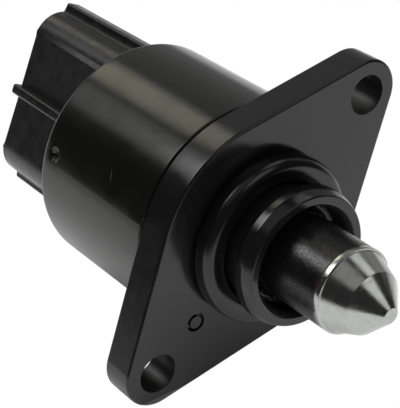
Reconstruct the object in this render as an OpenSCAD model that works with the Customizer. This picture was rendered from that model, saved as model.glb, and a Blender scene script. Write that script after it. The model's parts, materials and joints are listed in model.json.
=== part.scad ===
// Idle air control valve: a stepping motor in a steel can drives a cone-tipped pintle through a screw.
// Origin: centre of the flange's mounting face. +Z runs along the valve axis towards the tip.
// +X runs along the flange, through its two bolt holes. Millimetres.

/* [Can] */
// Sheet thickness of the can
can_wall = 0.8; // [0.6:0.1:1.2]
// Length of the can behind the flange
can_len = 24.25; // [24:0.25:32]
// Diameter of the punched stakes near the can's rear edge
stake_d = 1.9; // [1.4:0.1:2.2]
// Depth of the punched stakes
stake_depth = 0.45; // [0.3:0.05:0.6]
// Distance from the can's rear edge to the centre of the stakes
stake_inset = 2.7; // [2.5:0.1:3]
// Number of stakes round the can
stake_count = 3; // [2:1:6]
// Clock angle of the first stake
stake_angle = 119; // [60:1:150]

/* [Flange] */
// Thickness of the mounting flange
flange_t = 5.05; // [4:0.05:8]
// Distance between the two bolt holes
bolt_spacing = 46.9; // [44:0.1:60]
// Diameter of the bolt holes
bolt_hole_d = 5.6; // [4.5:0.1:6.6]
// Plastic left round each bolt hole
ear_wall = 2.18; // [1.5:0.02:4]
// How far the can stands proud of the flange's round middle
can_proud = 0.25; // [0.05:0.05:1]

/* [Nose] */
// Length of the nose in front of the mounting face
nose_len = 9.15; // [8:0.05:12]
// Wall between the guide bore and the neck that carries the O-ring
nose_wall = 1.05; // [0.8:0.05:2]
// How far the lip at the nose's end stands out past the neck
lip_h = 1.35; // [0.6:0.05:2]
// Length of the lip
lip_len = 2.9; // [2:0.05:3.5]
// How much the lip narrows towards the nose's end, as a lead-in
lip_taper = 0.5; // [0.2:0.05:0.5]
// Straight length of the lip behind the lead-in
lip_land = 1.45; // [0.4:0.05:2]
// How much wider the nose's mouth is than the guide bore, on each side
mouth_flare = 0.7; // [0.2:0.05:0.9]
// Depth of the sloped mouth
mouth_depth = 1.2; // [0.8:0.1:2]
// Section diameter of the O-ring
o_ring_section = 3.53; // [2.6:0.01:4]
// How far the O-ring's shallow seat reaches out past the ring
seat_margin = 0.25; // [0.1:0.05:1.5]
// Depth of the O-ring seat
seat_depth = 0.12; // [0.05:0.01:0.5]

/* [Pintle] */
// Room between the black shank and the guide bore
shank_gap = 1.4; // [1:0.1:2.5]
// Distance from the mounting face to the back of the metal tip at rest
tip_out = 17.15; // [16.6:0.05:20]
// Cylindrical rim at the back of the tip
rim_len = 0.85; // [0.4:0.05:2]
// Height of the step in front of the rim
rim_step = 0.3; // [0.1:0.05:0.6]
// Length of the blunt cone
cone_len = 3.45; // [2.5:0.05:5]
// Diameter where the blunt cone meets the sharp one
cone_d = 8.8; // [7:0.1:10]
// Length of the sharp cone
point_len = 3.4; // [2:0.05:4]
// Diameter of the flat at the very tip
flat_d = 2.25; // [1:0.05:3]
// Travel into the nose from rest
travel_in = 7.5; // [5:0.1:8]
// Travel out of the nose from rest
travel_out = 2; // [0.5:0.1:2.5]
// Length of the sliding collar behind the shank
collar_len = 3; // [2:0.1:3.4]
// Width of the two guide ribs
rib_w = 1.6; // [1:0.1:2.5]
// Height of the two guide ribs
rib_h = 0.6; // [0.4:0.05:0.8]

/* [Screw] */
// Diameter of the lead screw
screw_d = 5; // [4:0.1:6]
// Wall of the threaded insert
insert_wall = 1.95; // [1.5:0.05:2.4]
// Hub left in front of the threaded insert
insert_front = 1.2; // [0.8:0.1:2]
// Hub left behind the threaded insert
insert_back = 2.4; // [1:0.1:4]
// Length of thread still held by the insert when the pintle is fully out
thread_grip = 5.5; // [4:0.1:5.5]

/* [Bearings] */
// Room between the screw and the rotor hub's bore
hub_gap = 0.5; // [0.3:0.05:0.8]
// Wall of the hub's two journals
journal_wall = 1; // [0.8:0.1:1.5]
// Radial height of the front ball bearing, from its bore to its outside
race_h = 4; // [3.6:0.1:5]
// Step that the bearing's spring washer leans on, behind the guide bore
shoulder = 0.55; // [0.4:0.05:1]
// Width of the front ball bearing
bearing_w = 4; // [3.6:0.1:4.2]
// Diameter of the bearing balls
ball_d = 2.38; // [2:0.02:2.6]
// Number of bearing balls
ball_count = 8; // [6:1:9]
// Length of the rear bush
bush_len = 3.2; // [2.5:0.1:3.5]
// Wall of the rear bush
bush_wall = 1.4; // [1:0.1:1.8]
// Thickness of the thrust washer
washer_t = 0.4; // [0.3:0.05:0.5]

/* [Motor] */
// Length of the flange moulding's spigot inside the can
spigot_len = 3.2; // [2.6:0.1:4]
// Length of the end cap inside the can
plug_len = 5.5; // [5.3:0.1:7]
// Sheet thickness of the stator cups
pole_t = 0.8; // [0.6:0.05:1]
// Number of claws on each stator ring
claw_count = 6; // [4:1:8]
// Width of a claw at its root
claw_root = 4.2; // [3:0.1:4.6]
// Width of a claw at its end
claw_tip = 2.4; // [1.4:0.1:2.8]
// Gap between the rotor and the claws
air_gap = 0.3; // [0.2:0.05:0.5]
// Wall of the boss round the front bearing
boss_wall = 1.2; // [0.9:0.1:1.5]
// Wall of the bobbins
bobbin_wall = 0.5; // [0.4:0.05:0.8]
// Radial depth of the coils
coil_depth = 4.33; // [3:0.01:6]
// Wall of the rotor hub outside the bearing journals
hub_wall = 1.0; // [0.8:0.1:1.4]

/* [Connector] */
// Clock angle of the connector's long side
plug_angle = 26; // [0:1:60]
// Long side of the connector shroud
shroud_w = 27; // [26:0.5:29]
// Short side of the connector shroud
shroud_h = 10.6; // [10:0.1:12]
// Corner radius of the shroud
shroud_r = 4.6; // [2:0.1:5]
// Length of the shroud behind the can
shroud_len = 26.25; // [22:0.25:34]
// Wall of the shroud
shroud_wall = 1.3; // [1:0.1:1.6]
// Depth of the plug socket
socket_depth = 15.5; // [12:0.25:17]
// Width of the keying rib on the long side
key_w = 1.6; // [1:0.1:3]
// Height of the keying rib
key_h = 1.45; // [0.8:0.05:2]
// Width of the end rails
rail_w = 2.5; // [1.5:0.1:4]
// Height of the end rail next to the upper ear
rail_h_front = 1.5; // [0.8:0.05:2]
// Height of the end rail on the other end
rail_h_back = 1.15; // [0.8:0.05:2]
// Width of the latch ramp on the hidden long side
latch_w = 5; // [3:0.1:8]
// Height of the latch ramp
latch_h = 1.6; // [1:0.1:2.5]
// Length of the latch ramp's slope
latch_len = 4.5; // [3:0.1:6]
// Distance from the socket's mouth to the latch ramp
latch_inset = 2; // [1:0.1:4]
// Distance between neighbouring blades
blade_pitch = 4.6; // [4:0.1:5]
// Width of a blade
blade_w = 1.5; // [1.2:0.1:2]
// Thickness of a blade
blade_t = 0.8; // [0.6:0.05:1]
// Distance from the socket's mouth to the blade ends
blade_inset = 5.2; // [5:0.1:7]

/* [Hidden] */
$fn = 96;

// Clearance of pieces pressed or moulded together, of pieces that run on each other, and of loose ones
fit = 0.02;
run_fit = 0.05;
loose = 0.1;
// Overshoot of a cut past the face it opens
cut = 1;

// Radii, from the screw outwards
screw_r = screw_d / 2;
pin_r = screw_r - 0.9;
insert_r = screw_r + run_fit + insert_wall;
hub_bore_r = screw_r + hub_gap;
journal_r = hub_bore_r + journal_wall;
race_r = journal_r + race_h;
pitch_r = (race_r + journal_r) / 2;
ball_r = ball_d / 2;
groove_r = ball_r + run_fit;
groove_depth = 0.34;
race_gap = ball_r - groove_depth;
hub_r = max(insert_r, pitch_r) + hub_wall;
bush_r = journal_r + run_fit + bush_wall;
guide_r = race_r - shoulder;
collar_r = guide_r - run_fit;
shank_r = guide_r - shank_gap;
mouth_r = guide_r + mouth_flare;
neck_r = guide_r + nose_wall;
lip_r = neck_r + lip_h;
ring_r = o_ring_section / 2;
seat_r = neck_r + fit + o_ring_section + seat_margin;

// Stator and can, round the bearing's boss
boss_r = race_r + boss_wall;
claw_in_r = boss_r + loose;
claw_out_r = claw_in_r + pole_t - loose;
magnet_r = claw_in_r - air_gap;
bobbin_in_r = claw_out_r + run_fit;
winding_in_r = bobbin_in_r + bobbin_wall + fit;
winding_out_r = winding_in_r + coil_depth;
bobbin_rim = 0.4;
bobbin_r = winding_out_r + bobbin_rim;
cup_in_r = bobbin_r + run_fit + 0.03;
can_in_r = cup_in_r + pole_t + fit;
can_r = can_in_r + can_wall;
bolt_hole_r = bolt_hole_d / 2;
ear_x = bolt_spacing / 2;
ear_r = bolt_hole_r + ear_wall;

// Stations along the axis, from the mounting face backwards
back_z = -flange_t;
can_end_z = back_z - can_len;
spigot_z = back_z - spigot_len;
cap_recess = 0.3;
cap_z = can_end_z + cap_recess;
plug_z = cap_z + plug_len;
stack_z = [spigot_z - fit, plug_z + fit];
half_h = (stack_z[0] - stack_z[1]) / 2;
mid_z = stack_z[0] - half_h;
mouth_z = cap_z - shroud_len;
coil_room = half_h - 2 * pole_t;
claw_len = half_h - pole_t - 0.4;
claw_pitch = 360 / claw_count;

// Seal between the end cap and the can, in front of the stakes
seal_r = 0.55;
seal_z = can_end_z + stake_inset + stake_d / 2 + 0.4 + seal_r;

// Front bearing: the race sits behind a spring washer, under the end of the guide bore
guide_end_z = back_z - 0.45;
spring_t = 0.25;
spring_h = 0.7;
bearing_z = guide_end_z - spring_h - bearing_w;
bearing_mid_z = bearing_z + bearing_w / 2;
cage_gap = 0.2;

// Rotor
collar_t = 0.6;
rotor_front_z = bearing_z - collar_t;
bush_front_z = plug_z + 0.6;
bush_back_z = bush_front_z - bush_len;
cap_boss_r = bush_r + 1.2;
rotor_back_z = bush_front_z + washer_t + loose;
journal_end_z = bush_back_z - 0.2;
insert_z = [rotor_back_z + insert_back, rotor_front_z - insert_front];

// Pintle: the guide ribs still hold the collar when it is fully out
collar_gap = 1;
rib_grip = 1;
collar_back_z = guide_end_z + travel_in + collar_gap;
collar_front_z = collar_back_z + collar_len;
rib_top_z = collar_back_z + travel_out + rib_grip;
slot_gap = 0.15;
screw_end_z = insert_z[1] - thread_grip - travel_out;
pin_depth = 3;
pin_z = tip_out - pin_depth;
pin_len = 3.2;
pocket_z = screw_end_z - travel_in - 1;
pocket_r = screw_r + 0.9;

// Connector: blades at equal pitch, bent out to the coil leads
lead_r = winding_in_r + 1.83;
lead_v = 2.2;
bend_gap = 2;
bend_z = cap_z - bend_gap;
blade_end_z = mouth_z + blade_inset;
lead_pocket = [2.4, 7.2, 2];

// Small chamfers
lip_ease = 0.1;
can_ease = 0.15;
collar_ease = 0.2;
tip_ease = [0.15, 0.1];
screw_ease = 0.4;

// Flat ring between two radii, from z = low to z = high
module ring(inner, outer, low, high) {
    rotate_extrude() polygon([[inner, low], [outer, low], [outer, high], [inner, high]]);
}

// Ring whose outer edges are cut back by a small chamfer
module eased_ring(inner, outer, low, high, ease) {
    rotate_extrude() polygon([
        [inner, low], [outer - ease, low], [outer, low + ease],
        [outer, high - ease], [outer - ease, high], [inner, high]
    ]);
}

module rounded_rect(w, h, r) {
    for (x = [-1, 1], y = [-1, 1]) translate([x * (w / 2 - r), y * (h / 2 - r)]) circle(r);
    square([w, h - 2 * r], center = true);
    square([w - 2 * r, h], center = true);
}

// Places children round the axis
module around(count, start = 0) {
    for (i = [0 : count - 1]) rotate(start + i * 360 / count) children();
}

// Radial pin along +X, from radius a to radius b
module radial_pin(r, a, b) {
    translate([a, 0, 0]) rotate([0, 90, 0]) cylinder(r = r, h = b - a, $fn = 32);
}

// Flange outline: a round middle and two ears joined by their common tangents
module flange_outline() {
    core = can_r - can_proud;
    slope = acos((core - ear_r) / ear_x);
    side = [cos(slope), sin(slope)];
    circle(core);
    for (x = [-1, 1]) translate([x * ear_x, 0]) circle(ear_r);
    for (x = [-1, 1]) polygon([
        [0, 0],
        [x * core * side.x, core * side.y],
        [x * (ear_x + ear_r * side.x), ear_r * side.y],
        [x * (ear_x + ear_r * side.x), -ear_r * side.y],
        [x * core * side.x, -core * side.y]
    ]);
}

module stake_places() translate([0, 0, can_end_z + stake_inset]) around(stake_count, stake_angle) children();

// Front moulding: flange, nose, guide bore, spigot and bearing boss
module flange_housing() color([0.07, 0.07, 0.07]) difference() {
    union() {
        translate([0, 0, back_z]) linear_extrude(flange_t) flange_outline();
        cylinder(r = neck_r, h = nose_len - lip_len / 2);
        rotate_extrude() polygon([
            [guide_r, nose_len - lip_len], [lip_r - lip_ease, nose_len - lip_len],
            [lip_r, nose_len - lip_len + lip_ease], [lip_r, nose_len - lip_len + lip_land],
            [lip_r - lip_taper, nose_len], [guide_r, nose_len]
        ]);
        ring(guide_r, can_in_r - fit, spigot_z, back_z + cut);
        ring(guide_r, boss_r, bearing_z, back_z);
    }
    difference() {
        translate([0, 0, guide_end_z - cut]) cylinder(r = guide_r, h = nose_len - guide_end_z + 2 * cut);
        for (a = [90, 270]) rotate(a) translate([guide_r - rib_h, -rib_w / 2, guide_end_z - cut])
            cube([2 * rib_h, rib_w, rib_top_z - guide_end_z + cut]);
    }
    translate([0, 0, nose_len - mouth_depth])
        cylinder(r1 = guide_r, r2 = mouth_r + mouth_flare * cut / mouth_depth, h = mouth_depth + cut);
    translate([0, 0, bearing_z - cut]) cylinder(r = race_r + fit, h = guide_end_z - bearing_z + cut);
    for (x = [-1, 1]) translate([x * ear_x, 0, back_z - cut]) cylinder(r = bolt_hole_r, h = flange_t + 2 * cut);
    ring(neck_r, seat_r, -seat_depth, cut);
}

// Drawn steel tube, pressed over the spigot and staked into the end cap
module motor_can() color([0.13, 0.13, 0.12]) difference() {
    union() {
        eased_ring(can_in_r, can_r, can_end_z, back_z, can_ease);
        stake_places() radial_pin(stake_d / 2 + 0.25, can_in_r - stake_depth, can_r - can_wall / 2);
    }
    stake_places() radial_pin(stake_d / 2, can_r - stake_depth, can_r + cut);
}

module o_ring() color([0.04, 0.04, 0.04]) translate([0, 0, ring_r - seat_depth + fit])
    rotate_extrude() translate([neck_r + fit + ring_r, 0]) circle(ring_r);

module can_seal() color([0.05, 0.05, 0.05]) {
    translate([0, 0, seal_z]) rotate_extrude() translate([can_in_r - seal_r - fit, 0]) circle(seal_r, $fn = 32);
}

// One blade of the connector, bent outwards and forwards to the coil leads
module terminal(index, grow = 0) {
    u = (index - 2.5) * blade_pitch;
    out = u < 0 ? -1 : 1;
    v = (index == 1 || index == 4) ? -lead_v : lead_v;
    half_w = blade_w / 2 + grow;
    half_t = blade_t / 2 + grow;
    point = 0.4;
    taper = 0.45 * blade_w;
    rotate(plug_angle) {
        translate([u, half_t, 0]) rotate([90, 0, 0]) linear_extrude(2 * half_t) polygon([
            [-half_w, blade_end_z + taper], [-half_w + point, blade_end_z], [half_w - point, blade_end_z],
            [half_w, blade_end_z + taper], [half_w, bend_z + half_w], [-half_w, bend_z + half_w]
        ]);
        translate([u - half_w, min(0, v) - half_t, bend_z - half_t])
            cube([2 * half_w, abs(v) + 2 * half_t, 2 * half_t]);
        translate([min(u - out * half_w, out * lead_r) - (out < 0 ? half_t : 0), v - half_t, bend_z - half_t])
            cube([abs(lead_r - out * u) + half_w + half_t, 2 * half_t, 2 * half_t]);
        translate([out * lead_r - half_t, v - half_t, bend_z - half_t])
            cube([2 * half_t, 2 * half_t, plug_z - 0.5 - bend_z + half_t]);
    }
}

module blade_metal(index) color([0.78, 0.77, 0.72]) terminal(index);
module terminal_1() blade_metal(1);
module terminal_2() blade_metal(2);
module terminal_3() blade_metal(3);
module terminal_4() blade_metal(4);

// Ramp that a plug snaps over, on the long side away from the keying rib
module latch_ramp() {
    low = mouth_z + latch_inset;
    top = low + latch_len;
    end = top + 1;
    translate([latch_w / 2, -shroud_h / 2, 0]) rotate([0, -90, 0]) linear_extrude(latch_w)
        polygon([[low, cut], [low, 0], [top, -latch_h], [end, -latch_h], [end, cut]]);
}

module shroud() rotate(plug_angle) {
    translate([0, 0, mouth_z]) linear_extrude(shroud_len + cut) rounded_rect(shroud_w, shroud_h, shroud_r);
    translate([-key_w / 2, 0, mouth_z]) cube([key_w, shroud_h / 2 + key_h, shroud_len + cut]);
    translate([shroud_w / 2 - cut, -rail_w / 2, mouth_z]) cube([cut + rail_h_front, rail_w, shroud_len + cut]);
    translate([-shroud_w / 2 - rail_h_back, -rail_w / 2, mouth_z])
        cube([cut + rail_h_back, rail_w, shroud_len + cut]);
    latch_ramp();
}

// Rear moulding: end cap, bush seat, screw pocket and plug socket
module connector_housing() color([0.09, 0.09, 0.09]) difference() {
    union() {
        ring(0, can_in_r - fit, cap_z, plug_z);
        ring(0, cap_boss_r, cap_z, bush_front_z);
        shroud();
    }
    rotate(plug_angle) {
        translate([0, 0, mouth_z - cut]) linear_extrude(socket_depth + cut)
            rounded_rect(shroud_w - 2 * shroud_wall, shroud_h - 2 * shroud_wall, shroud_r - shroud_wall);
        for (x = [-1, 1]) translate([x * lead_r - lead_pocket.x / 2, -lead_pocket.y / 2, plug_z - lead_pocket.z])
            cube(lead_pocket + [0, 0, cut]);
    }
    for (i = [1 : 4]) terminal(i, fit);
    translate([0, 0, bush_back_z]) cylinder(r = bush_r + fit, h = bush_len + cut);
    translate([0, 0, journal_end_z - 3 * loose]) cylinder(r = journal_r + 3 * loose, h = bush_len);
    translate([0, 0, pocket_z]) cylinder(r = pocket_r, h = bush_front_z - pocket_z);
    ring(can_in_r - 2 * seal_r - 2 * fit, can_r, seal_z - seal_r - fit, seal_z + seal_r + fit);
    stake_places() radial_pin(stake_d / 2 + 0.35, can_in_r - stake_depth - 0.15, can_r);
}

// Openings between the claws of one stator ring, narrow at the claws' roots
module claw_gaps() {
    arc = PI * (claw_in_r + claw_out_r) / claw_count;
    root = (arc - claw_root) / 2;
    tip = (arc - claw_tip) / 2;
    around(claw_count, claw_pitch / 2) translate([claw_in_r / 2, 0, 0]) rotate([90, 0, 90])
        linear_extrude(claw_out_r + cut - claw_in_r / 2)
            polygon([[-root, pole_t], [root, pole_t], [tip, claw_len + cut], [-tip, claw_len + cut]]);
}

// Inner half of one phase: disc and claws, drawn with its disc from z = 0 up
module pole_plate() difference() {
    rotate_extrude() polygon([
        [claw_in_r, 0], [can_in_r - fit, 0], [can_in_r - fit, pole_t],
        [claw_out_r, pole_t], [claw_out_r, claw_len], [claw_in_r, claw_len]
    ]);
    claw_gaps();
}

// Outer half of one phase: the same with a wall that closes round the coil
module stator_cup() difference() {
    rotate_extrude() polygon([
        [claw_in_r, 0], [can_in_r - fit, 0], [can_in_r - fit, half_h - pole_t], [cup_in_r, half_h - pole_t],
        [cup_in_r, pole_t], [claw_out_r, pole_t], [claw_out_r, claw_len], [claw_in_r, claw_len]
    ]);
    claw_gaps();
}

// The claws of a phase interleave, and the rear phase is turned by a quarter of their pitch
module front_stator_cup() color([0.62, 0.62, 0.60])
    translate([0, 0, stack_z[0]]) mirror([0, 0, 1]) stator_cup();

module front_pole_plate() color([0.62, 0.62, 0.60])
    translate([0, 0, mid_z]) rotate(claw_pitch / 2) pole_plate();

module rear_pole_plate() color([0.62, 0.62, 0.60])
    translate([0, 0, mid_z]) rotate(claw_pitch / 4) mirror([0, 0, 1]) pole_plate();

// The coil leads pass through two slots in the rear cup's disc
module rear_stator_cup() color([0.62, 0.62, 0.60]) difference() {
    translate([0, 0, stack_z[1]]) rotate(claw_pitch * 3 / 4) stator_cup();
    rotate(plug_angle) for (x = [-1, 1])
        translate([x * lead_r - lead_pocket.x / 2, -lead_pocket.y / 2, stack_z[1] - cut])
            cube([lead_pocket.x, lead_pocket.y, pole_t + cut + fit]);
}

// Spool and coil of one phase, drawn from height z up
module bobbin(z) {
    translate([0, 0, z]) rotate_extrude() polygon([
        [bobbin_in_r, fit], [bobbin_r, fit], [bobbin_r, bobbin_wall],
        [bobbin_in_r + bobbin_wall, bobbin_wall], [bobbin_in_r + bobbin_wall, coil_room - bobbin_wall],
        [bobbin_r, coil_room - bobbin_wall], [bobbin_r, coil_room - fit], [bobbin_in_r, coil_room - fit]
    ]);
}

module winding(z) {
    ring(winding_in_r, winding_out_r, z + bobbin_wall + fit, z + coil_room - bobbin_wall - fit);
}

module front_bobbin() color([0.85, 0.82, 0.72]) bobbin(mid_z + pole_t);
module rear_bobbin() color([0.85, 0.82, 0.72]) bobbin(stack_z[1] + pole_t);
module front_winding() color([0.72, 0.38, 0.18]) winding(mid_z + pole_t);
module rear_winding() color([0.72, 0.38, 0.18]) winding(stack_z[1] + pole_t);

// Conical spring washer that loads the bearing's outer race
module bearing_spring() color([0.55, 0.56, 0.58]) {
    edge = [guide_r + loose, race_r - loose];
    low = guide_end_z - spring_h + fit;
    high = guide_end_z - fit;
    rotate_extrude() polygon([
        [edge[0], high - spring_t], [edge[1], low], [edge[1], low + spring_t], [edge[0], high]
    ]);
}

// Ball bearing, its grooves at the middle of its width
module bearing_outer_race() color([0.75, 0.76, 0.78]) difference() {
    ring(pitch_r + race_gap, race_r, bearing_z, bearing_z + bearing_w);
    translate([0, 0, bearing_mid_z]) rotate_extrude() translate([pitch_r, 0]) circle(groove_r, $fn = 48);
}

module bearing_inner_race() color([0.75, 0.76, 0.78]) difference() {
    ring(journal_r + fit, pitch_r - race_gap, bearing_z, bearing_z + bearing_w);
    translate([0, 0, bearing_mid_z]) rotate_extrude() translate([pitch_r, 0]) circle(groove_r, $fn = 48);
}

module bearing_balls() color([0.85, 0.86, 0.88])
    translate([0, 0, bearing_mid_z]) around(ball_count) translate([pitch_r, 0, 0]) sphere(ball_r, $fn = 48);

// Crown cage: a thin ring with a pocket round each ball
module bearing_cage() color([0.80, 0.70, 0.45]) translate([0, 0, bearing_mid_z]) difference() {
    ring(pitch_r - race_gap + cage_gap, pitch_r + race_gap - cage_gap, -ball_r / 2, bearing_w / 2 - cage_gap);
    around(ball_count) translate([pitch_r, 0, 0]) sphere(ball_r + run_fit, $fn = 48);
}

module rear_bush() color([0.72, 0.55, 0.30])
    ring(journal_r + run_fit, bush_r, bush_back_z, bush_front_z);

module rotor_magnet() color([0.18, 0.18, 0.19]) ring(hub_r + fit, magnet_r, rotor_back_z, rotor_front_z);

// Moulded hub: journals for both bearings, a collar behind the inner race, a seat for the insert
module rotor_hub() color([0.88, 0.87, 0.82]) difference() {
    union() {
        ring(0, journal_r, journal_end_z, bearing_z + bearing_w);
        ring(0, pitch_r - race_gap, rotor_front_z - cut, bearing_z);
        ring(0, hub_r, rotor_back_z, rotor_front_z);
    }
    ring(0, hub_bore_r, journal_end_z - cut, bearing_z + bearing_w + cut);
    ring(0, insert_r + fit, insert_z[0], insert_z[1]);
}

// Brass insert whose thread moves the screw
module threaded_insert() color([0.80, 0.62, 0.28])
    ring(screw_r + run_fit, insert_r, insert_z[0] + fit, insert_z[1] - fit);

module thrust_washer() color([0.66, 0.66, 0.66])
    ring(journal_r + loose, hub_r - 3 * loose, rotor_back_z - washer_t, rotor_back_z);

// Screw: plain front pinned into the tip, thread behind
module lead_screw() color([0.70, 0.70, 0.72]) {
    ring(0, screw_r, screw_end_z + screw_ease, pin_z);
    translate([0, 0, screw_end_z]) cylinder(r1 = screw_r - screw_ease, r2 = screw_r, h = screw_ease);
    ring(0, pin_r, pin_z - fit, tip_out + pin_len);
}

// Black slider: collar with two slots that run on the guide ribs, and the shank
module pintle_sleeve() color([0.06, 0.06, 0.06]) difference() {
    union() {
        eased_ring(screw_r + fit, collar_r, collar_back_z, collar_front_z, collar_ease);
        ring(screw_r + fit, shank_r, collar_front_z - fit, pin_z);
        ring(pin_r + fit, shank_r, pin_z, tip_out);
    }
    for (a = [90, 270]) rotate(a)
        translate([guide_r - rib_h - slot_gap, -rib_w / 2 - slot_gap, collar_back_z - cut])
            cube([2 * rib_h, rib_w + 2 * slot_gap, collar_len + 2 * cut]);
}

// Turned metal tip: rim, step, blunt cone, sharp cone and a small flat
module pintle_tip() color([0.80, 0.81, 0.80]) {
    rim_z = tip_out + rim_len;
    cone_z = rim_z + cone_len;
    hole_r = pin_r + fit;
    hole_z = tip_out + pin_len + 0.3;
    rotate_extrude() polygon([
        [hole_r, tip_out], [shank_r - tip_ease[0], tip_out], [shank_r, tip_out + tip_ease[0]],
        [shank_r, rim_z - tip_ease[1]], [shank_r - tip_ease[1], rim_z], [shank_r - rim_step, rim_z],
        [cone_d / 2, cone_z],
        [flat_d / 2, cone_z + point_len], [0, cone_z + point_len], [0, hole_z], [hole_r, hole_z]
    ]);
}

flange_housing();
motor_can();
connector_housing();
o_ring();
can_seal();
terminal_1();
terminal_2();
terminal_3();
terminal_4();
front_stator_cup();
front_pole_plate();
rear_pole_plate();
rear_stator_cup();
front_bobbin();
rear_bobbin();
front_winding();
rear_winding();
bearing_spring();
bearing_outer_race();
bearing_inner_race();
bearing_balls();
bearing_cage();
rear_bush();
rotor_magnet();
rotor_hub();
threaded_insert();
thrust_washer();
lead_screw();
pintle_sleeve();
pintle_tip();
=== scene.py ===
"""Idle air control valve: the finish of every piece, in a white studio.

Metres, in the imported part's own frame: +Z is the valve axis towards the cone tip, +X runs along the flange.
"""
import json
import math

import bmesh
import bpy
from mathutils import Matrix, Vector


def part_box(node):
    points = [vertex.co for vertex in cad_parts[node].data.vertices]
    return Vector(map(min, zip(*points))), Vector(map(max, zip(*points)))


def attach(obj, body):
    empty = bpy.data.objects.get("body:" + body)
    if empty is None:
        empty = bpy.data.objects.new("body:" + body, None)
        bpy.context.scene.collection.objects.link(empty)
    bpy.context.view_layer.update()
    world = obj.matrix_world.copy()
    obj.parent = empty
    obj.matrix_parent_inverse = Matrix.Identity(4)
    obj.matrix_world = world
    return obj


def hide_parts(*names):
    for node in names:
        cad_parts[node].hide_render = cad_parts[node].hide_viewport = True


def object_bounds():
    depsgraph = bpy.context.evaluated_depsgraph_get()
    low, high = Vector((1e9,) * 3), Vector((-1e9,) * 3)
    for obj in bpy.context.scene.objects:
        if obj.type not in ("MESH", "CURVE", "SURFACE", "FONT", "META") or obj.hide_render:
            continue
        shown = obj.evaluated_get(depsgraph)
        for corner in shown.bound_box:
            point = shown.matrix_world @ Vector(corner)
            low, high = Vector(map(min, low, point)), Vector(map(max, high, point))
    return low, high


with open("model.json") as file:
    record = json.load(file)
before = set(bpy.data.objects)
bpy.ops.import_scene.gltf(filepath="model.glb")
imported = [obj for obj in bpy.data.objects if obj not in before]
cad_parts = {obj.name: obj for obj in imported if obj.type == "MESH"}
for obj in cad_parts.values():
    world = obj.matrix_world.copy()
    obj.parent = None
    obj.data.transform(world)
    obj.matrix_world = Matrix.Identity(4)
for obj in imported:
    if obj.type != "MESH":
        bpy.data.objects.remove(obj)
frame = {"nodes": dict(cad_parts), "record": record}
nodes = frame["nodes"]
cad_low, cad_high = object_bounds()
MM = 0.001

# Sizes of the dressed pieces, from the frame where it has them
can_low, can_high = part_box("motor_can")
CAN_R = can_high.x
CAN_WALL = 0.8 * MM
CAN_REAR = can_low.z
CAN_FRONT = can_high.z
CAN_REAR_RADIUS = 0.6 * MM
CAN_FRONT_RADIUS = 0.22 * MM
ring_low, ring_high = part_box("o_ring")
RING_CORNER = 1.3 * MM
BOLT_X = 23.45 * MM
BOLT_R = 2.8 * MM
BORE_R = 8.0 * MM
FLANGE_REACH = 13 * MM
FLANGE_FRONT_RADIUS = 0.4 * MM
FLANGE_BACK_RADIUS = 0.2 * MM
BOLT_EDGE_RADIUS = 0.15 * MM
NOSE_FROM = 5 * MM
LIP_RADIUS = 0.18 * MM
MARK_AT = (-15.0 * MM, 0.1 * MM, 0)
MARK_R = 1.15 * MM
MARK_W = 0.24 * MM
MARK_DEPTH = 0.6 * MM
tip_low, tip_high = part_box("pintle_tip")
SHANK_R = tip_high.x
RIM_LEN = 0.85 * MM
RIM_STEP = 0.3 * MM
CONE_LEN = 3.45 * MM
CONE_R = 4.4 * MM
FLAT_R = 1.125 * MM
TIP_EDGE_RADIUS = 0.07 * MM
TOOL_PITCH = 0.11 * MM
SHANK_EDGE_RADIUS = 0.1 * MM
COLLAR_STEP = 0.9 * MM
COLLAR_FALL = 1.3 * MM
screw_low, screw_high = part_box("lead_screw")
SCREW_R = screw_high.x
CORE_R = SCREW_R - 0.5 * MM
PIN_R = 1.6 * MM
PIN_LEN = 3.0 * MM
nut_low, nut_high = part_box("threaded_insert")
THREAD_PITCH = 1.0 * MM
THREAD_DEPTH = 0.45 * MM
THREAD_PLAY = 0.07 * MM
THREAD_END = -3.5 * MM
RUN_OUT = 0.6 * MM
PLUG_TURN = math.radians(26)
SHROUD_FROM = -31 * MM
SHROUD_HALF_X = 13.45 * MM
SHROUD_HALF_Y = 5.25 * MM
SHROUD_RADIUS = 0.42 * MM
MOUTH = -55.25 * MM
MOUTH_RADIUS = 0.2 * MM
SHARP_ANGLE = math.radians(35)
FACE_WEIGHT = 80

# The camera that the photograph was taken from, in the part's frame
CAMERA_AT = Vector((-14.640, 147.283, 130.506)) * MM
CAMERA_FORWARD = Vector((0.0642, -0.7153, -0.6958))
CAMERA_UP = Vector((0.7972, 0.4562, -0.3954))
CAMERA_RIGHT = CAMERA_FORWARD.cross(CAMERA_UP)
FOCAL_PIXELS = 1468.565
FRAME_HEIGHT_PIXELS = 408
SENSOR = 36.0


def studio(right, up, toward):
    """A direction in the part's frame, given as the photographer saw it."""
    return (CAMERA_RIGHT * right + CAMERA_UP * up - CAMERA_FORWARD * toward).normalized()


def place_camera():
    """The photograph's camera."""
    lens = bpy.data.cameras.new("camera")
    lens.sensor_width = SENSOR
    lens.lens = FOCAL_PIXELS * SENSOR / FRAME_HEIGHT_PIXELS
    lens.clip_start = 0.01
    lens.clip_end = 20
    camera = bpy.data.objects.new("camera", lens)
    bpy.context.scene.collection.objects.link(camera)
    up = (CAMERA_UP - CAMERA_FORWARD * CAMERA_UP.dot(CAMERA_FORWARD)).normalized()
    right = CAMERA_FORWARD.cross(up).normalized()
    turn = Matrix((right, up, -CAMERA_FORWARD.normalized())).transposed().to_4x4()
    camera.matrix_world = Matrix.Translation(CAMERA_AT) @ turn
    bpy.context.scene.camera = camera


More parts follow.
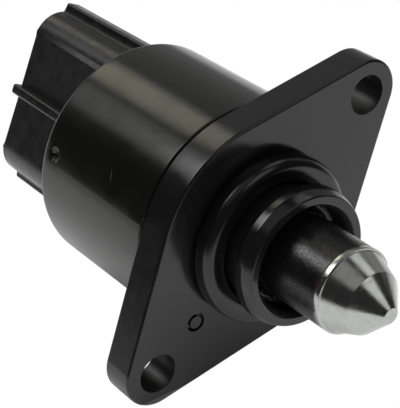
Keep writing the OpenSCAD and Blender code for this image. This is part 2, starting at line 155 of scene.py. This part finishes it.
class Nodes:
    """Short hand for building a node tree."""

    def __init__(self, tree):
        self.tree = tree
        tree.nodes.clear()

    def add(self, kind, **values):
        node = self.tree.nodes.new(kind)
        for name, value in values.items():
            setattr(node, name, value)
        return node

    def link(self, source, target):
        self.tree.links.new(source, target)

    def put(self, socket, value):
        if isinstance(value, bpy.types.NodeSocket):
            self.link(value, socket)
        else:
            socket.default_value = value

    def math(self, operation, a, b=0.0):
        node = self.add("ShaderNodeMath", operation=operation)
        self.put(node.inputs[0], a)
        self.put(node.inputs[1], b)
        return node.outputs[0]

    def ramp(self, value, low, high, start=0.0, end=1.0):
        """Smooth step of value from start at low to end at high."""
        node = self.add("ShaderNodeMapRange", interpolation_type="SMOOTHSTEP")
        self.put(node.inputs[0], value)
        for index, number in enumerate((low, high, start, end), 1):
            node.inputs[index].default_value = number
        return node.outputs[0]

    def dot(self, vector, direction):
        node = self.add("ShaderNodeVectorMath", operation="DOT_PRODUCT")
        self.link(vector, node.inputs[0])
        node.inputs[1].default_value = direction
        return node.outputs["Value"]

    def mix(self, factor, a, b):
        node = self.add("ShaderNodeMix", data_type="RGBA")
        self.put(node.inputs["Factor"], factor)
        self.put(node.inputs[6], a)
        self.put(node.inputs[7], b)
        return node.outputs[2]

    def place(self):
        return self.add("ShaderNodeTexCoord").outputs["Object"]

    def split(self, vector):
        node = self.add("ShaderNodeSeparateXYZ")
        self.link(vector, node.inputs[0])
        return node.outputs

    def noise(self, vector, scale, detail=4.0, rough=0.5, stretch=None):
        if stretch:
            mapping = self.add("ShaderNodeMapping")
            self.link(vector, mapping.inputs["Vector"])
            mapping.inputs["Scale"].default_value = stretch
            vector = mapping.outputs[0]
        node = self.add("ShaderNodeTexNoise")
        self.link(vector, node.inputs["Vector"])
        node.inputs["Scale"].default_value = scale
        node.inputs["Detail"].default_value = detail
        node.inputs["Roughness"].default_value = rough
        return node.outputs["Fac"]

    def blend(self, factor, a, b):
        node = self.add("ShaderNodeMixShader")
        for socket, source in zip(node.inputs, (factor, a, b)):
            self.link(source, socket)
        return node.outputs[0]

    def bump(self, height, distance, under=None):
        node = self.add("ShaderNodeBump")
        self.link(height, node.inputs["Height"])
        node.inputs["Distance"].default_value = distance
        node.inputs["Strength"].default_value = 1.0
        if under:
            self.link(under, node.inputs["Normal"])
        return node.outputs[0]


def grey(tone, warm=0.0):
    """A grey, warmer with more red and less blue."""
    return (tone * (1 + warm), tone, tone * (1 - warm), 1.0)


def blank_material(name):
    mat = bpy.data.materials.new(name)
    mat.use_nodes = True
    return mat, Nodes(mat.node_tree)


def material(name, base, roughness, metallic=0.0):
    """A new principled material, its node kit and its shader."""
    mat, kit = blank_material(name)
    shader = kit.add("ShaderNodeBsdfPrincipled")
    out = kit.add("ShaderNodeOutputMaterial")
    kit.link(shader.outputs[0], out.inputs[0])
    kit.put(shader.inputs["Base Color"], base)
    kit.put(shader.inputs["Roughness"], roughness)
    shader.inputs["Metallic"].default_value = metallic
    shader.inputs["IOR"].default_value = 1.5
    return mat, kit, shader


def inside_hole(kit, at, across, radius):
    """1 within a hole along Z whose middle is across from the axis on either side."""
    x = kit.math("SUBTRACT", kit.math("ABSOLUTE", at["X"]), across)
    y = at["Y"]
    away = kit.math("SQRT", kit.math("ADD", kit.math("MULTIPLY", x, x), kit.math("MULTIPLY", y, y)))
    return kit.ramp(away, radius + 0.1 * MM, radius)


def moulded_plastic(name, tone, rough_low, rough_high, grain, holes=()):
    """Glossy black moulding: fine grain, faint flow marks, uneven gloss, duller inside its holes."""
    mat, kit, shader = material(name, grey(tone), 0.3)
    place = kit.place()
    cloud = kit.noise(place, 260, 5)
    kit.put(shader.inputs["Base Color"], kit.mix(cloud, grey(tone * 0.7), grey(tone * 1.3, 0.04)))
    gloss = kit.ramp(kit.noise(place, 420, 6, 0.6), 0.3, 0.7, rough_low, rough_high)
    if holes:
        at = kit.split(place)
        for across, radius, dull in holes:
            gloss = kit.math("MAXIMUM", gloss, kit.math("MULTIPLY", inside_hole(kit, at, across, radius), dull))
    kit.put(shader.inputs["Roughness"], gloss)
    fine = kit.bump(kit.noise(place, 5200, 3, 0.6), grain)
    wave = kit.bump(kit.noise(place, 150, 2), 0.000035, under=fine)
    kit.put(shader.inputs["Normal"], wave)
    return mat


def scratch(kit, along, height, angle, z, length, turn, width):
    """A thin mark on the can, along at an angle round it and z up it, in millimetres."""
    u = kit.math("SUBTRACT", along, math.radians(angle) * CAN_R / MM)
    v = kit.math("SUBTRACT", height, z)
    c, s = math.cos(math.radians(turn)), math.sin(math.radians(turn))
    run = kit.math("ADD", kit.math("MULTIPLY", u, c), kit.math("MULTIPLY", v, s))
    side = kit.math("SUBTRACT", kit.math("MULTIPLY", v, c), kit.math("MULTIPLY", u, s))
    ends = kit.ramp(kit.math("ABSOLUTE", run), length * 0.5, length * 0.3)
    return kit.math("MULTIPLY", ends, kit.ramp(kit.math("ABSOLUTE", side), width, width * 0.3))


# Angle round the can, height, length, turn and half width of each light mark
CAN_MARKS = (
    (111.5, -13.7, 1.7, 20, 0.06),
    (85.3, -9.9, 2.6, 128, 0.05),
    (143, -12.0, 2.2, 35, 0.04),
    (-60, -18.0, 2.0, 100, 0.05),
    (-140, -11.0, 1.5, 30, 0.05),
)


def coated_steel():
    """Black coating over drawn steel, with faint draw lines and a few light marks."""
    mat, kit, shader = material("coated_steel", grey(0.012, 0.04), 0.2)
    place = kit.place()
    at = kit.split(place)
    along = kit.math("MULTIPLY", kit.math("ARCTAN2", at["Y"], at["X"]), CAN_R / MM)
    height = kit.math("MULTIPLY", at["Z"], 1 / MM)
    marks = 0.0
    for row in CAN_MARKS:
        marks = kit.math("MAXIMUM", marks, scratch(kit, along, height, *row))
    cloud = kit.noise(place, 160, 5)
    base = kit.mix(cloud, (0.0070, 0.0072, 0.0045, 1), (0.0140, 0.0140, 0.0095, 1))
    kit.put(shader.inputs["Base Color"], kit.mix(marks, base, grey(0.11, 0.03)))
    kit.put(shader.inputs["Roughness"], kit.ramp(kit.noise(place, 300, 6, 0.6), 0.3, 0.7, 0.11, 0.19))
    draw = kit.bump(kit.noise(place, 900, 4, stretch=(1, 1, 0.05)), 0.000008)
    fine = kit.bump(kit.noise(place, 3800, 3), 0.000003, under=draw)
    kit.put(shader.inputs["Normal"], kit.bump(marks, -0.00001, under=fine))
    return mat


def ring_rubber():
    """Smooth black rubber."""
    mat, kit, shader = material("ring_rubber", grey(0.007), 0.2)
    place = kit.place()
    kit.put(shader.inputs["Base Color"], kit.mix(kit.noise(place, 300, 4), grey(0.009), grey(0.014)))
    kit.put(shader.inputs["Roughness"], kit.ramp(kit.noise(place, 700, 5, 0.6), 0.3, 0.7, 0.15, 0.25))
    kit.put(shader.inputs["Normal"], kit.bump(kit.noise(place, 4200, 3), 0.000004))
    return mat


def shank_finish():
    """Black sleeve: grainy gloss, and a brown stain where the metal tip meets it."""
    mat, kit, shader = material("shank_black", grey(0.009), 0.25)
    place = kit.place()
    near_tip = kit.ramp(kit.split(place)["Z"], tip_low.z - 0.45 * MM, tip_low.z - 0.15 * MM)
    patch = kit.ramp(kit.noise(place, 500, 3), 0.35, 0.6)
    base = kit.mix(kit.noise(place, 600, 5), grey(0.006), grey(0.014, 0.05))
    stain = kit.math("MULTIPLY", near_tip, patch)
    kit.put(shader.inputs["Base Color"], kit.mix(stain, base, (0.060, 0.022, 0.012, 1)))
    speck = kit.noise(place, 3300, 4, 0.7)
    kit.put(shader.inputs["Roughness"], kit.ramp(speck, 0.3, 0.7, 0.16, 0.40))
    grain = kit.bump(speck, 0.000014)
    kit.put(shader.inputs["Normal"], kit.bump(kit.noise(place, 380, 3), 0.00003, under=grain))
    return mat


def turned_metal():
    """Turned cone: fine tool rings, dull patches and small pits."""
    mat, kit, shader = material("turned_metal", grey(0.48), 0.2, metallic=1.0)
    place = kit.place()
    cloud = kit.noise(place, 700, 6, 0.65)
    pits = kit.ramp(kit.noise(place, 2900, 3, 0.6), 0.66, 0.74)
    base = kit.mix(cloud, (0.392, 0.402, 0.386, 1), (0.525, 0.535, 0.518, 1))
    kit.put(shader.inputs["Base Color"], kit.mix(pits, base, grey(0.22)))
    kit.put(shader.inputs["Roughness"], kit.ramp(cloud, 0.3, 0.7, 0.24, 0.12))
    rings = kit.math("SINE", kit.math("MULTIPLY", kit.split(place)["Z"], 2 * math.pi / TOOL_PITCH))
    tool = kit.bump(rings, 0.0000012)
    grain = kit.bump(kit.noise(place, 1900, 5, 0.65), 0.000010, under=tool)
    kit.put(shader.inputs["Normal"], kit.bump(pits, -0.00001, under=grain))
    return mat


def plain_metal(name, color, roughness, scale=900, turns=None):
    """Plated or drawn metal; turns is the pitch of wound wire, whose grooves between turns get painted shade."""
    mat, kit, shader = material(name, color, roughness, metallic=1.0)
    place = kit.place()
    cloud = kit.noise(place, scale, 5)
    dark = tuple(c * 0.8 for c in color[:3]) + (1.0,)
    base = kit.mix(cloud, dark, color)
    normal = kit.bump(kit.noise(place, scale * 4, 3), 0.000004)
    if turns:
        phase = kit.math("MULTIPLY", kit.split(place)["Z"], math.pi / turns)
        wave = kit.math("ABSOLUTE", kit.math("SINE", phase))
        # Painted shade: the colour darkens to a quarter in the grooves between the wound turns.
        base = kit.mix(kit.ramp(wave, 0.0, 0.6), tuple(c * 0.25 for c in color[:3]) + (1.0,), base)
        normal = kit.bump(wave, turns * 0.5, under=normal)
    kit.put(shader.inputs["Base Color"], base)
    kit.put(shader.inputs["Roughness"], kit.ramp(cloud, 0.3, 0.7, roughness * 0.8, roughness * 1.3))
    kit.put(shader.inputs["Normal"], normal)
    return mat


def plain_solid(name, color, roughness):
    """Moulded or pressed stuff that isn't metal."""
    mat, kit, shader = material(name, color, roughness)
    place = kit.place()
    cloud = kit.noise(place, 400, 5)
    dark = tuple(c * 0.85 for c in color[:3]) + (1.0,)
    kit.put(shader.inputs["Base Color"], kit.mix(cloud, dark, color))
    kit.put(shader.inputs["Roughness"], kit.ramp(cloud, 0.3, 0.7, roughness * 0.85, roughness * 1.15))
    kit.put(shader.inputs["Normal"], kit.bump(kit.noise(place, 3000, 3), 0.000006))
    return mat


# Distance from the axis, radius and roughness of the nose's bore and the bolt holes
HOLES = ((0.0, BORE_R, 0.6), (BOLT_X, BOLT_R + 0.05 * MM, 0.42))

FINISH = {
    "moulding_black": moulded_plastic("front_moulding_black", 0.015, 0.12, 0.20, 0.000004, HOLES),
    "connector_black": moulded_plastic("socket_black", 0.008, 0.22, 0.33, 0.000007),
    "shank_black": shank_finish(),
    "can_black": coated_steel(),
    "rubber_black": ring_rubber(),
    "tip_metal": turned_metal(),
    "terminal_tin": plain_metal("tinned_blade", (0.80, 0.79, 0.75, 1), 0.22),
    "stator_steel": plain_metal("plated_steel", (0.66, 0.66, 0.65, 1), 0.35),
    "bearing_steel": plain_metal("bearing_steel", (0.75, 0.76, 0.78, 1), 0.12),
    "cage_brass": plain_metal("cage_brass", (0.80, 0.64, 0.36, 1), 0.3),
    "bush_bronze": plain_metal("sintered_bronze", (0.62, 0.44, 0.24, 1), 0.5),
    "insert_brass": plain_metal("turned_brass", (0.85, 0.66, 0.30, 1), 0.25),
    "screw_steel": plain_metal("screw_steel", (0.66, 0.66, 0.68, 1), 0.22),
    "winding_copper": plain_metal("winding_copper", (0.80, 0.36, 0.16, 1), 0.3, turns=0.22 * MM),
    "bobbin_nylon": plain_solid("natural_nylon", (0.78, 0.74, 0.64, 1), 0.45),
    "magnet_ferrite": plain_solid("ferrite", (0.06, 0.06, 0.063, 1), 0.6),
}
SLOT_OF = {row["node"]: row["material_slot"] for row in frame["record"]["subparts"]}


def dress(obj, slot):
    """Gives an object the finish of a material slot."""
    obj.data.materials.clear()
    obj.data.materials.append(FINISH[slot])


def place_object(bm, name):
    """Turns a bmesh into an object of the scene."""
    mesh = bpy.data.meshes.new(name)
    bm.to_mesh(mesh)
    bm.free()
    obj = bpy.data.objects.new(name, mesh)
    bpy.context.scene.collection.objects.link(obj)
    return obj


def show(bm, name, node, body):
    """Turns a bmesh into a shown piece that stands for a node and rides on its body."""
    obj = place_object(bm, name)
    obj.data.shade_smooth()
    obj.data.set_sharp_from_angle(angle=SHARP_ANGLE)
    flat = obj.modifiers.new("flat faces stay flat", "WEIGHTED_NORMAL")
    flat.keep_sharp = True
    flat.weight = FACE_WEIGHT
    dress(obj, SLOT_OF[node])
    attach(obj, body)
    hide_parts(node)


def copy_of(node):
    """A merged copy of a node's mesh, its flat faces joined."""
    bm = bmesh.new()
    bm.from_mesh(nodes[node].data)
    bmesh.ops.remove_doubles(bm, verts=bm.verts, dist=0.000001)
    bmesh.ops.dissolve_limit(bm, angle_limit=math.radians(0.5), verts=bm.verts, edges=bm.edges)
    return bm


def ease(bm, chosen, width, segments=4, sharper=0.25):
    """Rounds the outward edges, sharper than an angle, for which chosen(middle, edge) holds."""
    edges = []
    for edge in bm.edges:
        if len(edge.link_faces) == 2 and edge.is_convex and edge.calc_face_angle() > sharper:
            if chosen((edge.verts[0].co + edge.verts[1].co) / 2, edge):
                edges.append(edge)
    bmesh.ops.bevel(bm, geom=edges, offset=width, offset_type="OFFSET", segments=segments, profile=0.5,
                    affect="EDGES", clamp_overlap=False, material=-1)


def level(edge, z):
    """Whether an edge lies at a height."""
    return all(abs(v.co.z - z) < 0.02 * MM for v in edge.verts)


def wire(bm, points, corners=None, closed=True, segments=4):
    """A wire of (radius, height) points in the plane y = 0, ready to be spun; corners are {index: rounding}."""
    verts = [bm.verts.new((r, 0, z)) for r, z in points]
    for a, b in zip(verts, verts[1:] + verts[:1] if closed else verts[1:]):
        if a.co.x > 0 or b.co.x > 0:
            bm.edges.new((a, b))
    for index, width in (corners or {}).items():
        bmesh.ops.bevel(bm, geom=[verts[index]], offset=width, offset_type="OFFSET", segments=segments, profile=0.5,
                        affect="VERTICES", material=-1)
    return [v for v in bm.verts if not v.link_faces] + [e for e in bm.edges if not e.link_faces]


def spin(bm, geom, steps, angle=2 * math.pi, rise=0.0):
    """Spins a wire round the axis, rising as it goes, and gives the last wire."""
    whole = rise == 0 and abs(angle - 2 * math.pi) < 0.001
    made = bmesh.ops.spin(bm, geom=geom, cent=(0, 0, 0), axis=(0, 0, 1), dvec=(0, 0, rise / steps), angle=angle,
                          steps=steps, use_merge=whole, use_normal_flip=False, use_duplicate=False)
    return made["geom_last"]


def close(bm):
    """Merges the seams and turns all faces outwards."""
    bmesh.ops.remove_doubles(bm, verts=bm.verts, dist=0.0000005)
    bmesh.ops.recalc_face_normals(bm, faces=bm.faces)
    return bm


def cut_away(bm, cutter):
    """What is left of one closed form when another is taken away."""
    pair = [place_object(form, "form") for form in (bm, cutter)]
    take = pair[0].modifiers.new("cut", "BOOLEAN")
    take.operation = "DIFFERENCE"
    take.solver = "EXACT"
    take.object = pair[1]
    left = bmesh.new()
    left.from_mesh(pair[0].evaluated_get(bpy.context.evaluated_depsgraph_get()).data)
    for obj in pair:
        bpy.data.meshes.remove(obj.data)
    return left


def mark_groove():
    """The ring groove of the moulded mark, as a closed form to be cut out."""
    bm = bmesh.new()
    inner, outer = MARK_R - MARK_W, MARK_R + MARK_W
    points = [(inner, -MARK_DEPTH), (inner, MARK_W), (outer, MARK_W), (outer, -MARK_DEPTH)]
    spin(bm, wire(bm, points), 72)
    close(bm)
    bmesh.ops.translate(bm, verts=bm.verts, vec=MARK_AT)
    return bm


def front_moulding():
    """Flange and nose with rounded edges and the mark's groove."""
    bm = copy_of("flange_housing")

    def bolt_hole(at):
        return abs(math.hypot(abs(at.x) - BOLT_X, at.y) - BOLT_R) < 0.1 * MM

    def outline(at):
        return at.xy.length > FLANGE_REACH and not bolt_hole(at)

    ease(bm, lambda at, e: level(e, 0) and outline(at), FLANGE_FRONT_RADIUS)
    ease(bm, lambda at, e: level(e, CAN_FRONT) and outline(at), FLANGE_BACK_RADIUS)
    ease(bm, lambda at, e: (level(e, 0) or level(e, CAN_FRONT)) and bolt_hole(at), BOLT_EDGE_RADIUS)
    ease(bm, lambda at, e: at.z > NOSE_FROM and at.xy.length > BORE_R, LIP_RADIUS)
    show(cut_away(bm, mark_groove()), "front_moulding", "flange_housing", "housing")


def socket_moulding():
    """Plug socket with rounded outer edges; it is turned square to choose them, and back."""
    bm = copy_of("connector_housing")
    bmesh.ops.rotate(bm, verts=bm.verts, cent=(0, 0, 0), matrix=Matrix.Rotation(-PLUG_TURN, 3, "Z"))

    def outside(at):
        return at.z < SHROUD_FROM and (abs(at.x) > SHROUD_HALF_X or abs(at.y) > SHROUD_HALF_Y)

    ease(bm, lambda at, e: outside(at), SHROUD_RADIUS, sharper=0.9)
    ease(bm, lambda at, e: level(e, MOUTH), MOUTH_RADIUS, sharper=0.9)
    bmesh.ops.rotate(bm, verts=bm.verts, cent=(0, 0, 0), matrix=Matrix.Rotation(PLUG_TURN, 3, "Z"))
    show(bm, "socket_moulding", "connector_housing", "housing")


# Depth in millimetres of a punched stake by distance from its middle: floor, crest, outer step
STAKE_PROFILE = ((0, 0.45), (0.42, 0.45), (0.72, 0.06), (0.82, 0.02), (0.90, 0.12), (1.0, 0.10), (1.15, 0.0))
STAKE_Z = CAN_REAR + 2.7 * MM
STAKE_TURN = math.radians(119)
THIRD = 2 * math.pi / 3
STAKE_PATCH = math.radians(8.8)


def stake_depth(at):
    """How far the three stakes push the can's skin in at a point."""
    turn = (math.atan2(at.y, at.x) - STAKE_TURN + THIRD / 2) % THIRD - THIRD / 2
    away = math.hypot(turn * CAN_R, at.z - STAKE_Z) / MM
    for (x0, y0), (x1, y1) in zip(STAKE_PROFILE, STAKE_PROFILE[1:]):
        if away <= x1:
            return (y0 + (y1 - y0) * (away - x0) / (x1 - x0)) * MM
    return 0.0


def can_shell():
    """Drawn tube with rounded rims and three punched stakes."""
    inner = CAN_R - CAN_WALL
    lines = [STAKE_Z + i * 0.06 * MM for i in range(-20, 21)]
    lines += [CAN_REAR + (5 + 2 * i) * MM for i in range(9)]
    points = [(inner, CAN_REAR), (CAN_R, CAN_REAR)]
    points += [(CAN_R, z) for z in lines]
    points += [(CAN_R, CAN_FRONT), (inner, CAN_FRONT)]
    bm = bmesh.new()
    last = wire(bm, points, {1: CAN_REAR_RADIUS, len(points) - 2: CAN_FRONT_RADIUS})
    start = Matrix.Rotation(STAKE_TURN - STAKE_PATCH / 2, 3, "Z")
    bmesh.ops.rotate(bm, verts=bm.verts, cent=(0, 0, 0), matrix=start)
    for _ in range(3):
        last = spin(bm, last, 44, STAKE_PATCH)
        last = spin(bm, last, 40, THIRD - STAKE_PATCH)
    close(bm)
    for v in bm.verts:
        if v.co.xy.length > CAN_R - 0.01 * MM:
            depth = stake_depth(v.co)
            if depth:
                v.co.xy *= 1 - depth / CAN_R
    show(bm, "can_shell", "motor_can", "housing")


def neck_ring():
    """Rubber ring, its section flattened by the groove and round at the corners."""
    outer = ring_high.x
    inner = outer - (ring_high.z - ring_low.z)
    points = [(inner, ring_low.z), (outer, ring_low.z), (outer, ring_high.z), (inner, ring_high.z)]
    bm = bmesh.new()
    spin(bm, wire(bm, points, dict.fromkeys(range(4), RING_CORNER), segments=12), 192)
    show(close(bm), "neck_ring", "o_ring", "housing")


def cone_tip():
    """Turned tip: rim, step, blunt cone, sharp cone and flat, each edge barely broken."""
    back = tip_low.z
    cone = back + RIM_LEN + CONE_LEN
    points = [
        (PIN_R, back), (SHANK_R, back), (SHANK_R, back + RIM_LEN), (SHANK_R - RIM_STEP, back + RIM_LEN),
        (CONE_R, cone), (FLAT_R, tip_high.z), (0, tip_high.z), (0, screw_high.z), (PIN_R, screw_high.z),
    ]
    bm = bmesh.new()
    spin(bm, wire(bm, points, dict.fromkeys(range(1, 6), TIP_EDGE_RADIUS)), 240)
    show(close(bm), "cone_tip", "pintle_tip", "pintle")


def slider():
    """Black shank; the front of its collar falls away towards the shank."""
    bm = bmesh.new()
    bm.from_mesh(nodes["pintle_sleeve"].data)
    bmesh.ops.remove_doubles(bm, verts=bm.verts, dist=0.000001)
    collar = max(v.co.z for v in bm.verts if v.co.xy.length > SHANK_R + COLLAR_STEP)
    front = [v for v in bm.verts if abs(v.co.z - collar) < 0.02 * MM]
    foot = [v for v in front if v.co.xy.length < SHANK_R + 0.05 * MM]
    bmesh.ops.translate(bm, verts=foot, vec=(0, 0, -COLLAR_FALL))
    ease(bm, lambda at, e: level(e, tip_low.z), SHANK_EDGE_RADIUS)
    show(bm, "slider", "pintle_sleeve", "pintle")


def thread(bm, crest, root, low, high):
    """A right-hand thread between two heights; its two ends are left open."""
    start = (math.floor(low / THREAD_PITCH) - 1) * THREAD_PITCH
    turns = math.ceil((high - start) / THREAD_PITCH) + 1
    shape = ((crest, -0.1), (crest, 0.1), (root, 0.42), (root, 0.58), (crest, 0.9))
    geom = wire(bm, [(r, start + t * THREAD_PITCH) for r, t in shape], closed=False)
    spin(bm, geom, 36 * turns, 2 * math.pi * turns, turns * THREAD_PITCH)
    bmesh.ops.remove_doubles(bm, verts=bm.verts, dist=0.000001)
    for z, below in ((low, True), (high, False)):
        whole = bm.verts[:] + bm.edges[:] + bm.faces[:]
        bmesh.ops.bisect_plane(bm, geom=whole, dist=0.0000001, plane_co=(0, 0, z), plane_no=(0, 0, 1),
                               clear_inner=below, clear_outer=not below)


def open_edges(bm, z):
    """The edges of an open end at a height."""
    return [e for e in bm.edges if e.is_boundary and level(e, z)]


def threaded_screw():
    """Lead screw: pointed thread at the rear, plain shank and the pin that carries the tip."""
    bm = bmesh.new()
    thread(bm, SCREW_R, SCREW_R - THREAD_DEPTH, screw_low.z, THREAD_END)
    for z in (screw_low.z, THREAD_END):
        bmesh.ops.holes_fill(bm, edges=open_edges(bm, z), sides=0)
    for v in bm.verts:
        limit = CORE_R + max(0.0, v.co.z - screw_low.z)
        if v.co.xy.length > limit:
            v.co.xy *= limit / v.co.xy.length
    start = THREAD_END - RUN_OUT
    shoulder = tip_low.z - PIN_LEN
    points = [
        (0, start), (CORE_R, start), (SCREW_R, THREAD_END), (SCREW_R, shoulder),
        (PIN_R, shoulder), (PIN_R, screw_high.z), (0, screw_high.z),
    ]
    spin(bm, wire(bm, points), 72)
    show(close(bm), "threaded_screw", "lead_screw", "pintle")


def threaded_nut():
    """Insert in the rotor, threaded with a little play round the screw."""
    bm = bmesh.new()
    crest = SCREW_R + THREAD_PLAY
    thread(bm, crest, crest - THREAD_DEPTH, nut_low.z, nut_high.z)
    spin(bm, wire(bm, [(nut_high.x, nut_low.z), (nut_high.x, nut_high.z)], closed=False), 72)
    for z in (nut_low.z, nut_high.z):
        bmesh.ops.triangle_fill(bm, edges=open_edges(bm, z), use_beauty=True, normal=(0, 0, 1))
    show(close(bm), "threaded_nut", "threaded_insert", "rotor")


# Studio: a white table, a white wall behind, soft panels above and a dark side towards the camera
FILL = 0.035
WALL = 0.78
CEILING = 0.27
TABLE_TILT = 0.62
# Direction, angles in degrees where the panel ends and where it has faded, strength
PANELS = (
    ((-0.67, 0.71, 0.23), 6, 16, 5.0),
    ((-0.70, 0.70, -0.05), 6, 12, 0.6),
    ((0.37, 0.91, 0.17), 9, 17, 0.95),
    ((0.56, 0.41, 0.72), 10, 22, 0.95),
    ((-0.22, 0.68, 0.70), 17, 30, 0.32),
)
WARM_PANEL = ((-0.40, 0.89, -0.21), 4, 12, 1.55)
WARM = (1.04, 1.0, 0.80, 1.0)


def panel(kit, facing, direction, inner, outer):
    """1 towards a round panel, fading to 0 between two angles from its middle."""
    spot = kit.dot(facing, studio(*direction))
    return kit.ramp(spot, math.cos(math.radians(outer)), math.cos(math.radians(inner)))


def light_world():
    """The studio as a world of soft areas."""
    world = bpy.data.worlds.new("studio")
    bpy.context.scene.world = world
    world.use_nodes = True
    kit = Nodes(world.node_tree)
    facing = kit.add("ShaderNodeTexCoord").outputs["Generated"]
    up = kit.dot(facing, studio(0, 1, 0))
    away = kit.dot(facing, studio(0, 0, -1))
    tilt = kit.math("ADD", up, kit.math("MULTIPLY", away, -TABLE_TILT))
    white_table = kit.ramp(tilt, -0.15, -0.35)
    wall = kit.math("MULTIPLY", kit.ramp(away, 0.15, 0.6, 0.0, WALL), kit.ramp(up, 0.62, 0.42))
    ceiling = kit.math("MULTIPLY", kit.ramp(away, -0.1, 0.2), kit.ramp(up, 0.35, 0.65))
    light = kit.math("ADD", FILL, kit.math("MULTIPLY", ceiling, CEILING))
    for direction, inner, outer, strength in PANELS:
        spot = panel(kit, facing, direction, inner, outer)
        light = kit.math("ADD", light, kit.math("MULTIPLY", spot, strength))
    light = kit.math("MAXIMUM", light, kit.math("MAXIMUM", white_table, wall))
    warm = panel(kit, facing, *WARM_PANEL[:3])
    light = kit.math("ADD", light, kit.math("MULTIPLY", warm, WARM_PANEL[3]))
    path = kit.add("ShaderNodeLightPath")
    light = kit.math("MAXIMUM", light, path.outputs["Is Camera Ray"])
    background = kit.add("ShaderNodeBackground")
    kit.link(kit.mix(warm, grey(1.0), WARM), background.inputs["Color"])
    kit.link(light, background.inputs["Strength"])
    kit.link(background.outputs[0], kit.add("ShaderNodeOutputWorld").inputs[0])


# Half side of the floor, its distance under the part, and how it looks to the camera
FLOOR_HALF = 3.0
FLOOR_DROP = 60 * MM
FLOOR_PAINT = 0.85
FLOOR_GLOW = 1.1
FLOOR_GLOW_SHARE = 0.88


def lay_floor():
    """White floor, which is clear when seen from below."""
    bm = bmesh.new()
    bmesh.ops.create_grid(bm, x_segments=1, y_segments=1, size=FLOOR_HALF)
    bmesh.ops.translate(bm, verts=bm.verts, vec=(0, 0, cad_low.z - FLOOR_DROP))
    floor = place_object(bm, "floor")
    mat, kit = blank_material("floor_white")
    paint = kit.add("ShaderNodeBsdfDiffuse")
    paint.inputs["Color"].default_value = grey(FLOOR_PAINT)
    glow = kit.add("ShaderNodeEmission")
    glow.inputs["Strength"].default_value = FLOOR_GLOW
    seen = kit.math("MULTIPLY", kit.add("ShaderNodeLightPath").outputs["Is Camera Ray"], FLOOR_GLOW_SHARE)
    above = kit.blend(seen, paint.outputs[0], glow.outputs[0])
    behind = kit.add("ShaderNodeNewGeometry").outputs["Backfacing"]
    both = kit.blend(behind, above, kit.add("ShaderNodeBsdfTransparent").outputs[0])
    kit.link(both, kit.add("ShaderNodeOutputMaterial").inputs[0])
    floor.data.materials.append(mat)
    floor.visible_glossy = False


# The painted shadow card lies where the table that the valve lies on would be: its normal, and its distance behind
# the part's origin
TABLE_NORMAL = Vector((0.644, 0.765, 0.031)).normalized()
TABLE_DROP = 19.0 * MM
TABLE_HALF = 90 * MM
SHADOW_REACH = 22 * MM


def lay_shadow():
    """Painted shadow: a card where the table round the valve would be, seen only by glossy rays and darkened by
    ambient occlusion near the valve, which its glossy faces mirror.
    """
    bm = bmesh.new()
    bmesh.ops.create_grid(bm, x_segments=1, y_segments=1, size=TABLE_HALF)
    turn = TABLE_NORMAL.to_track_quat("Z", "Y").to_matrix().to_4x4()
    bmesh.ops.transform(bm, verts=bm.verts, matrix=Matrix.Translation(-TABLE_NORMAL * TABLE_DROP) @ turn)
    card = place_object(bm, "table_shadow")
    mat, kit = blank_material("table_shadow")
    near = kit.add("ShaderNodeAmbientOcclusion", samples=16)
    near.inputs["Distance"].default_value = SHADOW_REACH
    clear = kit.add("ShaderNodeBsdfTransparent")
    # Painted shadow: the card dims what it lets through by ambient occlusion near the valve.
    kit.link(kit.ramp(near.outputs["AO"], 0.1, 0.95, 0.05, 1.0), clear.inputs["Color"])
    kit.link(clear.outputs[0], kit.add("ShaderNodeOutputMaterial").inputs[0])
    card.data.materials.append(mat)
    card.visible_camera = False
    card.visible_diffuse = False
    card.visible_transmission = False
    card.visible_shadow = False


place_camera()
for name, node in nodes.items():
    dress(node, SLOT_OF[name])

front_moulding()
socket_moulding()
can_shell()
neck_ring()
slider()
cone_tip()
threaded_screw()
threaded_nut()

light_world()
lay_floor()
lay_shadow()
bpy.context.scene.view_settings.view_transform = "Standard"
